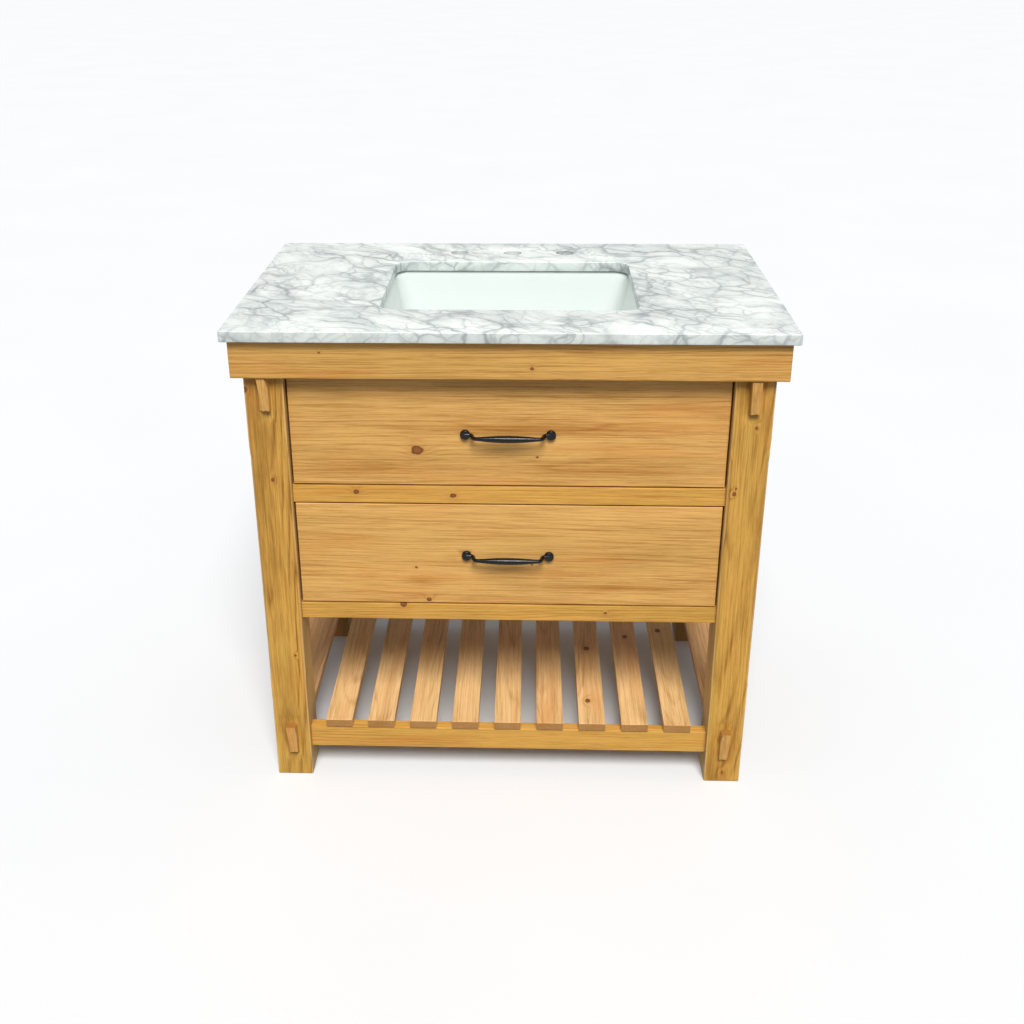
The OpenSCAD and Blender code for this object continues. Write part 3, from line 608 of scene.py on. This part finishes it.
def add_legs():
    """The front legs, and rear ones in darker colours: painted shade for the cabinet's shadow they stand in.
    """
    for i, (name, side) in enumerate((("left", -1), ("right", 1))):
        wood = pine("leg_pine_" + name, "Z", rgb("#D6A650"), rgb("#865416"), seed=1.3 + i,
                    heart=(side * LEG_MIDDLE - 0.02, -0.185), tilt=(0.02, -0.04), ring=8 * MM,
                    contrast=0.6, streaks=1.0, green=0.22, stain=0.45, knots=LEG_KNOTS[name],
                    arris=(side * LEG_MIDDLE, LEG_OUT - LEG_MIDDLE))
        worn_board("leg_front_" + name, wood, "Z", wear=1.6 * MM, wave=0.5 * MM, seed=3 + i, step=5 * MM,
                   carve=carve_leg(side, 3 + i))
        # The rear legs' darker tones are painted shade, standing in for the cabinet's shadow over them.
        painted_shade_pine = pine("rear_pine_painted_shade_" + name, "Z", rgb("#94682C"), rgb("#583610"), seed=4.3 + i,
                      heart=(side * LEG_MIDDLE - 0.04, 0.33), tilt=(0.01, 0.02), ring=6 * MM, contrast=0.35)
        worn_board("leg_rear_" + name, painted_shade_pine, "Z", wear=1.4 * MM, wave=0.4 * MM, seed=6 + i, step=12 * MM)


def peg_shape(x, top, height, lean, flip):
    """A hand-cut wedge head: proud at its top, with chisel facets either side that widen downwards.

    lean is how far the foot's left facet cuts in, from 0 for a straight peg to 1. A flip of -1
    mirrors the peg."""
    half, back = PEG_HALF, LEG_FACE + 6 * MM
    proud_top, proud_foot = LEG_FACE - 13.6 * MM, LEG_FACE - 7.6 * MM
    foot = top - height
    cut_in = (1.2 + 5.4 * lean) * MM

    def at(across, y, z):
        return Vector((x + flip * across, y, z))

    root = [at(-half, back, foot), at(half, back, foot), at(half, back, top), at(-half, back, top)]
    base = [at(-half, LEG_FACE, foot), at(half, LEG_FACE, foot), at(half, LEG_FACE, top),
            at(-half, LEG_FACE, top)]
    face = [at(cut_in - half, proud_foot, foot + 0.6 * MM),
            at(3.0 * MM, proud_foot - 1.6 * MM, foot + 2.5 * MM),
            at(8.2 * MM, proud_foot, foot + 0.6 * MM),
            at(8.8 * MM, proud_top + 5 * MM, top - 0.36 * height),
            at((8 - 3 * lean) * MM, proud_top, top - 0.4 * MM),
            at(-0.4 * MM, proud_top - 0.3 * MM, top - 0.2 * height),
            at(-8.6 * MM, proud_top, top - 0.4 * MM)]
    shape = bmesh.new()
    root, base, face = ([shape.verts.new(p) for p in loop] for loop in (root, base, face))
    shape.faces.new(reversed(root))
    join_rings(shape, [root, base])
    foot_left, ridge_foot, foot_right, cheek, top_right, ridge_top, top_left = face
    foot_face = (base[0], base[1], foot_right, ridge_foot, foot_left)
    right_faces = ((base[1], cheek, foot_right), (base[1], base[2], cheek), (base[2], top_right, cheek))
    top_face = (base[2], base[3], top_left, top_right)
    left_face = (base[3], base[0], foot_left, top_left)
    front_faces = ((foot_left, ridge_foot, ridge_top, top_left), (ridge_foot, foot_right, cheek, ridge_top),
                   (cheek, top_right, ridge_top), (top_right, top_left, ridge_top))
    for corners in (foot_face, *right_faces, top_face, left_face, *front_faces):
        shape.faces.new(corners)
    bmesh.ops.recalc_face_normals(shape, faces=shape.faces)
    bmesh.ops.triangulate(shape, faces=shape.faces)
    bmesh.ops.bevel(shape, geom=shape.edges[:], offset=0.45 * MM, segments=2, affect="EDGES",
                    clamp_overlap=True)
    return shape


def add_pegs():
    wood = pine("peg_pine", "Z", rgb("#DCAB64"), rgb("#9A6826"), seed=9, ring=3 * MM, contrast=0.35)
    all_pegs = bmesh.new()
    upper, lower = PEGS[1].z, PEGS[0].z + PEG_HEIGHT
    left, right = -1, 1
    for side, top, lean, flip in ((left, upper, 1.0, 1), (right, upper, 0.15, 1), (left, lower, 0.4, 1),
                                  (right, lower, 0.5, -1)):
        one = peg_shape(side * LEG_MIDDLE, top, PEG_HEIGHT, lean, flip)
        mesh = bpy.data.meshes.new("peg")
        one.to_mesh(mesh)
        one.free()
        all_pegs.from_mesh(mesh)
        bpy.data.meshes.remove(mesh)
    add_piece("leg_pegs_cut", all_pegs, wood, ["leg_pegs"], sharp=30)


# ---- Boards ----

BOARD_LIGHT, BOARD_DARK = rgb("#DBAA5E"), rgb("#946025")


def add_front_boards():
    """Apron, rails, stretchers and side panels."""
    past_shoulder = 0.001 * MM
    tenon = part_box("mid_rail")[1].x - LEG_IN
    apron = pine("apron_pine", "X", BOARD_LIGHT, BOARD_DARK, seed=2, heart=(0.66, -0.20), tilt=(0.02, 0.01),
                 ring=5.5 * MM, contrast=0.42, streaks=1.3,
                 knots=((0.0385, 0.817, 0.0025), (-0.3, 0.842, 0.0015)))
    worn_board("apron_front", apron, "X", seed=11, wear=2.4 * MM)
    rails = (("mid_rail", 3, ((-0.257, 0.583, 0.004), (-0.0925, 0.578, 0.004))),
             ("bottom_rail_front", 4, ((-0.184, 0.364, 0.005), (0.172, 0.351, 0.002))),
             ("shelf_rail_front", 5, ()), ("shelf_rail_rear", 6, ()), ("bottom_rail_rear", 7, ()),
             ("top_rail_rear", 8, ()), ("top_rail_front", 8.5, ()))
    for name, seed, knots in rails:
        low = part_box(name)[0]
        wood = pine(name + "_pine", "X", rgb("#DAA752"), rgb("#92601F"), seed=seed,
                    heart=(low.z - 0.06, low.y + 0.08), tilt=(0.02, 0.01), ring=5 * MM, contrast=0.4,
                    green=0.2, knots=knots)
        worn_board(name, wood, "X", seed=seed, fixed_ends=tenon + past_shoulder)
    for i, (side, out) in enumerate((("left", -1), ("right", 1))):
        wood = pine("side_pine_" + side, "side", BOARD_LIGHT, BOARD_DARK, seed=12 + i,
                    heart=(0.55, 0.30 * out), tilt=(0.01, 0.01), ring=5 * MM)
        worn_board("apron_" + side, wood, "Y", seed=14 + i, wear=2.4 * MM)
        tenon_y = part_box("stretcher_" + side)[1].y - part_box("leg_rear_" + side)[0].y
        worn_board("stretcher_" + side, wood, "Y", seed=16 + i, fixed_ends=tenon_y + past_shoulder)
        panel = pine("panel_pine_" + side, "side", rgb("#D3A661"), rgb("#8F6228"), seed=18 + i,
                     heart=(0.66, 0.33 * out), tilt=(0.03, 0.01), ring=6 * MM, contrast=0.4,
                     knots=((0.05, 0.62, 0.006), (-0.11, 0.45, 0.004)))
        worn_board("side_panel_" + side, panel, "Y", wear=0.4 * MM, seed=20 + i, step=16 * MM)


# Knots in the slats, by slat: place along the slat, off its middle, radius
SLAT_KNOTS = {
    7: ((0.004, -0.001, 0.005), (-0.175, -0.005, 0.0045)),
    8: ((0.050, 0.002, 0.0045),),
    9: ((0.075, -0.006, 0.005),),
}


def add_shelf():
    """Nine slats cut from different places in the log, and a board between the legs at each end."""
    for number in range(1, 10):
        name = f"shelf_slat_{number}"
        low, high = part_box(name)
        middle = (low.x + high.x) / 2
        knots = SLAT_KNOTS.get(number, ())
        wood = pine(name + "_pine", "Y", rgb("#EFC48A"), rgb("#AC7C44"), seed=30 + number * 1.7,
                    heart=(middle + 0.012 * ((number * 5) % 7 - 3), low.z - 0.03 - 0.012 * (number % 3)),
                    tilt=(0.012 * ((number * 3) % 5 - 2), 0.05), ring=6 * MM, contrast=0.42, green=0.12,
                    knots=[(a, middle + b, r) for a, b, r in knots])
        worn_board(name, wood, "Y", wear=1.1 * MM, seed=40 + number)
    for i, side in enumerate(("left", "right")):
        knots = ((-0.06, 0.397, 0.004),) if side == "right" else ()
        wood = pine("edge_pine_" + side, "Y", rgb("#EFBE88"), rgb("#B27E46"), seed=50 + i,
                    heart=((-0.43, 0.43)[i], 0.06), tilt=(0.02, 0.05), ring=7 * MM, contrast=0.35,
                    green=0.05, knots=knots)
        worn_board("shelf_edge_" + side, wood, "Y", seed=52 + i, wear=0.8 * MM)


def add_drawer_fronts():
    """Wide boards with a few knots and lenses of darker wood."""
    light, dark = rgb("#E0AF66"), rgb("#946122")
    upper = pine("upper_front_pine", "X", light, dark, seed=60, heart=(0.52, -0.12),
                 tilt=(0.03, 0.02), ring=8 * MM, contrast=0.28, streaks=1.0, green=0.12,
                 knots=((-0.151, 0.661, 0.008), (0.049, 0.650, 0.0018)),
                 flares=((0.16, 0.628, 0.14, 0.012), (-0.26, 0.625, 0.10, 0.010), (0.05, 0.700, 0.2, 0.01)))
    lower = pine("lower_front_pine", "X", light, dark, seed=61, heart=(0.30, -0.14),
                 tilt=(-0.03, 0.02), ring=8 * MM, contrast=0.28, streaks=1.0, green=0.12,
                 knots=((-0.159, 0.438, 0.0018), (-0.138, 0.374, 0.0035), (0.042, 0.446, 0.0015)),
                 flares=((-0.155, 0.412, 0.03, 0.008), (0.2, 0.40, 0.1, 0.006)))
    for name, wood, seed in (("upper", upper, 60), ("lower", lower, 61)):
        worn_board(name + "_drawer_front", wood, "X", seed=seed, wear=1.0 * MM, step=12 * MM)


def add_drawer_boxes():
    """The inner drawer parts, battens, blocks and back, as in the CAD with eased edges."""
    light, dark = rgb("#E2C593"), rgb("#B98E55")
    across = plain_board("box_pine_across", "X", light, dark, seed=70)
    along = plain_board("box_pine_along", "Y", light, dark, seed=71)
    thin = plywood("drawer_plywood", "X")
    for name in ("upper_drawer_subfront", "upper_drawer_backs",
                 "lower_drawer_subfront", "lower_drawer_back"):
        paint(name, across, 0.6 * MM)
    for name in ("upper_drawer_side_left", "upper_drawer_side_right", "upper_drawer_notch_walls",
                 "lower_drawer_side_left", "lower_drawer_side_right"):
        paint(name, along, 0.6 * MM)
    for name in ("upper_drawer_bottoms", "lower_drawer_bottom"):
        paint(name, thin, 0.2 * MM)
    raw = plain_board("raw_pine", "Y", rgb("#DDB57C"), rgb("#A97C48"), seed=72)
    for name in ("slide_battens", "corner_blocks"):
        paint(name, raw, 0.8 * MM)
    paint("back_panel", plywood("back_plywood", "Z", "Y"), 0.3 * MM)


# ---- Handles ----

def sweep(shape, path, radii, sides=20):
    """A round tube along points in a plane of constant height, closed at both ends."""
    rings = []
    for i, point in enumerate(path):
        ahead = (path[min(i + 1, len(path) - 1)] - path[max(i - 1, 0)]).normalized()
        aside = ahead.cross(Z)
        ring = []
        for k in range(sides):
            turn = 2 * math.pi * k / sides
            ring.append(shape.verts.new(point + radii[i] * (math.cos(turn) * aside + math.sin(turn) * Z)))
        rings.append(ring)
    join_rings(shape, rings)
    shape.faces.new(reversed(rings[0]))
    shape.faces.new(rings[-1])


def smooth_path(corners, bend, steps=6):
    """Straight runs between corners, each inner corner rounded by a quadratic curve."""
    path = [corners[0]]
    for before, corner, after in zip(corners, corners[1:], corners[2:]):
        start = corner + (before - corner).normalized() * min(bend, (before - corner).length * 0.45)
        end = corner + (after - corner).normalized() * min(bend, (after - corner).length * 0.45)
        for i in range(steps + 1):
            s = i / steps
            path.append(start * (1 - s) ** 2 + corner * 2 * s * (1 - s) + end * s * s)
    path.append(corners[-1])
    return path


def lathe(shape, centre, profile, sides=40):
    """A turned button about the line through centre along -Y; profile is (radius, reach) pairs."""
    turns = [2 * math.pi * k / sides for k in range(sides)]
    rings = [[shape.verts.new(centre + Vector((r * math.cos(turn), -reach, r * math.sin(turn))))
              for turn in turns] for r, reach in profile]
    join_rings(shape, rings)
    shape.faces.new(reversed(rings[0]))
    shape.faces.new(rings[-1])


def add_handles():
    """Two flat rosettes, a foot along the drawer from each, and a grip that swells in the middle."""
    iron = black_iron()
    rosette, rod, grip = 8.4 * MM, 3.3 * MM, 6.1 * MM  # radii
    bow, steps = 0.5 * MM, 16
    # A rosette's profile: shares of its radius, and reach from the drawer in mm
    button = ((0.80, 0.2), (0.97, 0.3), (1.0, 0.9), (1.0, 5.2), (0.96, 6.2), (0.86, 6.7),
              (0.4, 6.9), (0.1, 6.95))
    for which in ("upper", "lower"):
        low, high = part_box("handle_" + which)
        height = (low.z + high.z) / 2
        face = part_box(which + "_drawer_front")[0].y
        screw = high.x - 8.5 * MM
        grip_y = low.y + grip + 0.2 * MM
        foot_y = face - rod - 1.3 * MM
        corners = [(screw, foot_y), (screw - 11.5 * MM, foot_y), (screw - 14 * MM, grip_y + 1.2 * MM),
                   (screw - 26 * MM, grip_y + bow)]
        end = smooth_path([Vector((x, y, height)) for x, y in corners], 6 * MM)
        grip_x = end[-1].x
        turns = [math.pi * i / steps for i in range(1, steps)]
        middle = [Vector((grip_x * math.cos(a), grip_y + bow * math.cos(a) ** 2, height)) for a in turns]
        path = end + middle + [Vector((-p.x, p.y, p.z)) for p in reversed(end)]
        radii = []
        for p in path:
            swell = max(0.0, 1 - (p.x / (grip_x * 1.08)) ** 2)
            foot = max(0.0, 1 - (screw - abs(p.x)) / (9 * MM))
            radii.append(rod + (grip - rod) * swell + 1.1 * MM * foot)
        shape = bmesh.new()
        sweep(shape, path, radii)
        for side in (-1, 1):
            lathe(shape, Vector((side * screw, face, height)), [(r * rosette, y * MM) for r, y in button])
        bmesh.ops.recalc_face_normals(shape, faces=shape.faces)
        add_piece("handle_" + which + "_forged", shape, iron, ["handle_" + which], sharp=50)


# ---- Stone and basin ----

def add_marble_top():
    """The slab, cut out for the basin and the faucet, with eased arrises and round upright corners."""
    low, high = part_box("marble_top")
    ease, steps, corner_r = 1.4 * MM, 4, 4 * MM
    sink_half_x, sink_half_y, sink_r, sink_y = 217 * MM, 153 * MM, 26 * MM, -10 * MM
    faucet_y, faucet_pitch, faucet_r, faucet_sides = 214 * MM, 101.6 * MM, 17 * MM, 48

    def slab(grow, z):
        return rounded_ring(high.x + grow, high.y + grow, corner_r + grow, z, 0)

    def sink(grow, z):
        return rounded_ring(sink_half_x + grow, sink_half_y + grow, sink_r + grow, z, sink_y)

    def faucet_hole(x):
        def circle(grow, z):
            radius = faucet_r + grow
            turns = [2 * math.pi * k / faucet_sides for k in range(faucet_sides)]
            return [Vector((x + radius * math.cos(a), faucet_y + radius * math.sin(a), z)) for a in turns]
        return circle

    shape = bmesh.new()
    top_rims, bottom_rims = [], []
    arc = [math.pi / 2 * k / steps for k in range(steps + 1)]
    outlines = [(slab, -1), (sink, 1)] + [(faucet_hole(x), 1) for x in (-faucet_pitch, 0, faucet_pitch)]
    for outline, into_stone in outlines:
        upper = [(into_stone * ease * (1 - math.sin(a)), high.z - ease * (1 - math.cos(a))) for a in arc]
        lower = [(grow, low.z + high.z - z) for grow, z in reversed(upper)]
        rings = [[shape.verts.new(p) for p in outline(grow, z)] for grow, z in upper + lower]
        join_rings(shape, rings)
        for rims, ring in ((top_rims, rings[0]), (bottom_rims, rings[-1])):
            rims += [shape.edges.get((ring[k - 1], ring[k])) for k in range(len(ring))]
    for rims in (top_rims, bottom_rims):
        bmesh.ops.triangle_fill(shape, edges=rims, use_beauty=True, use_dissolve=False)
    bmesh.ops.recalc_face_normals(shape, faces=shape.faces)
    add_piece("marble_top_polished", shape, marble(), ["marble_top"], sharp=35)


def rounded_ring(half_x, half_y, radius, z, centre_y, per_corner=9):
    """Points round a rectangle with round corners, the same number in every ring."""
    ring = []
    for quarter, (sx, sy) in enumerate(((1, 1), (-1, 1), (-1, -1), (1, -1))):
        for k in range(per_corner):
            turn = math.pi / 2 * (quarter + k / (per_corner - 1))
            ring.append(Vector((sx * (half_x - radius) + radius * math.cos(turn),
                                centre_y + sy * (half_y - radius) + radius * math.sin(turn), z)))
    return ring


def add_basin():
    """One smooth shell: flange, sloping walls, a curved foot and a floor that falls to the drain."""
    low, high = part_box("basin")
    seal_low, seal_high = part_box("basin_seal")
    middle_y = (seal_low.y + seal_high.y) / 2
    flange, flange_thickness, wall = 18 * MM, 10 * MM, 9 * MM
    mouth_x, mouth_y = high.x - flange, seal_high.y - middle_y - flange + 2 * MM
    mouth_r, foot_r = 30 * MM, 42 * MM  # upright corners of the bowl
    taper, foot_height, foot_reach = 27 * MM, 34 * MM, 30 * MM
    rim_z, floor_z, fall_height = high.z, high.z - 140 * MM, 2.5 * MM
    drain, boss, boss_z = 22.5 * MM, 35 * MM, low.z

    def ring_points(half_x, half_y, radius, z):
        return rounded_ring(half_x, half_y, radius, z, middle_y)

    def circle(radius, z):
        return ring_points(radius, radius, radius - 0.1 * WELD, z)

    def around_mouth(grow, z):
        return ring_points(mouth_x + grow, mouth_y + grow, mouth_r + grow, z)

    def wall_rings(grow, top, bottom, wall_steps=9, foot_steps=8):
        """Rings from the mouth down to the floor; grow moves them out by the wall's thickness."""
        rings = []
        for i in range(wall_steps + 1):
            s = i / wall_steps
            inset = taper * s - grow
            radius = mouth_r + (foot_r - mouth_r) * s + grow
            z = top + (bottom + foot_height - top) * s
            rings.append(ring_points(mouth_x - inset, mouth_y - inset, radius, z))
        for i in range(1, foot_steps + 1):
            turn = math.pi / 2 * i / foot_steps
            inset = taper - grow + foot_reach * (1 - math.cos(turn))
            z = bottom + foot_height * (1 - math.sin(turn))
            rings.append(ring_points(mouth_x - inset, mouth_y - inset, foot_r + grow, z))
        return rings

    inside = wall_rings(0, rim_z, floor_z + fall_height)
    foot, drain_rim = inside[-1], circle(drain + 6 * MM, floor_z)
    for share in (0.2, 0.45, 0.7, 0.9):
        z = floor_z + fall_height * (1 - share)
        inside.append([Vector((*p.lerp(q, share).xy, z)) for p, q in zip(foot, drain_rim)])
    inside += [circle(drain + 6 * MM, floor_z + 0.1 * MM), circle(drain + 2 * MM, floor_z - 0.8 * MM),
               circle(drain, floor_z - 3 * MM)]
    outside_top, ease = rim_z - flange_thickness, 0.8 * MM
    outside = wall_rings(wall, outside_top, floor_z - wall)
    under = [circle(drain, boss_z), circle(boss, boss_z), circle(boss, floor_z - wall - 1 * MM)]
    flange_rings = [around_mouth(flange, outside_top), around_mouth(flange, rim_z - ease),
                    around_mouth(flange - ease, rim_z), around_mouth(2.5 * MM, rim_z),
                    around_mouth(1.0 * MM, rim_z - 0.5 * MM)]
    shape = bmesh.new()
    loop = flange_rings + inside[1:] + under + outside[::-1]
    join_rings(shape, [[shape.verts.new(p) for p in ring] for ring in loop], around=True)
    bmesh.ops.recalc_face_normals(shape, faces=shape.faces)
    profile = [Vector((0, min(p.y for p in ring), ring[0].z)) for ring in outside]
    profile.append(Vector((0, middle_y - boss / 2, floor_z - wall)))
    shape = boolean(shape, overflow_duct(profile), "UNION")
    front = middle_y - mouth_y
    slot = slot_cutter(26 * MM, 8 * MM, front - 15 * MM, front + 20 * MM, rim_z - 24 * MM)
    shape = boolean(shape, slot, "DIFFERENCE")
    add_piece("basin_glazed", shape, ceramic(), ["basin"], sharp=45)


def boolean(shape, other, operation):
    """Joins another closed shape to this one, or cuts it away."""
    objects = []
    for part in (shape, other):
        mesh = bpy.data.meshes.new("part")
        part.to_mesh(mesh)
        part.free()
        objects.append(bpy.data.objects.new("part", mesh))
        bpy.context.scene.collection.objects.link(objects[-1])
    change = objects[0].modifiers.new("change", "BOOLEAN")
    change.object, change.operation, change.solver = objects[1], operation, "EXACT"
    result = bmesh.new()
    result.from_object(objects[0], bpy.context.evaluated_depsgraph_get())
    bmesh.ops.remove_doubles(result, verts=result.verts, dist=WELD)
    for part in objects:
        bpy.data.meshes.remove(part.data)
    return result


def overflow_duct(profile):
    """A soft-edged channel down the outside of the front wall and under the floor to the drain."""
    half, inward, outward, above = 18 * MM, 4 * MM, 13.8 * MM, 2 * MM
    near, far = [], []
    for i, point in enumerate(profile):
        along = (profile[min(i + 1, len(profile) - 1)] - profile[max(i - 1, 0)]).normalized()
        out = Vector((0, -abs(along.z), -abs(along.y)))
        near.append(point - out * inward)
        far.append(point + out * outward)
    far[0].z = near[0].z = profile[0].z + above
    duct = bmesh.new()
    sides = [[duct.verts.new(p + X * x) for p in near + far[::-1]] for x in (-half, half)]
    join_rings(duct, sides)
    for side in sides:
        for k in range(len(profile) - 1):
            duct.faces.new((side[k], side[k + 1], side[-k - 2], side[-k - 1]))
    bmesh.ops.recalc_face_normals(duct, faces=duct.faces)
    edges = [e for e in duct.edges if len(e.link_faces) == 2 and e.calc_face_angle() > math.radians(60)
             and abs(e.verts[0].co.x - e.verts[1].co.x) < MM]
    bmesh.ops.bevel(duct, geom=edges, offset=3 * MM, segments=4, affect="EDGES", clamp_overlap=True)
    return duct


def slot_cutter(width, height, start, end, middle_z, steps=8):
    """A bar along Y with round sides, for cutting a slot."""
    radius = height / 2
    outline = []
    for side in (1, -1):
        for k in range(steps + 1):
            turn = math.pi * (k / steps - 0.5) * side
            x = side * (width / 2 - radius + radius * math.cos(turn))
            outline.append((x, middle_z + radius * math.sin(turn)))
    bar = bmesh.new()
    ends = [[bar.verts.new((x, y, z)) for x, z in outline] for y in (start, end)]
    join_rings(bar, ends)
    for rim in ends:
        bar.faces.new(rim)
    bmesh.ops.recalc_face_normals(bar, faces=bar.faces)
    return bar


def add_metal():
    """Slides, clips and screws, and the bead of sealant."""
    steel = zinc_steel()
    for name in ("slide_outers", "slide_middles_upper", "slide_middles_lower", "slide_inners_upper",
                 "slide_inners_lower", "basin_clips", "handle_screws_upper", "handle_screws_lower"):
        paint(name, steel, 0.3 * MM)
    paint("basin_seal", silicone(), 0.3 * MM)


# ---- Scene ----

bpy.context.scene.view_settings.view_transform = "Standard"
add_camera()
add_world(overhead=0.34, horizon=1.0, below=0.16)
add_sun("key", height=52, side=5, spread=26, power=3.9, tint=(1.0, 0.985, 0.955))
add_floor()
add_legs()
add_pegs()
add_front_boards()
add_shelf()
add_drawer_fronts()
add_drawer_boxes()
add_handles()
add_marble_top()
add_basin()
add_metal()
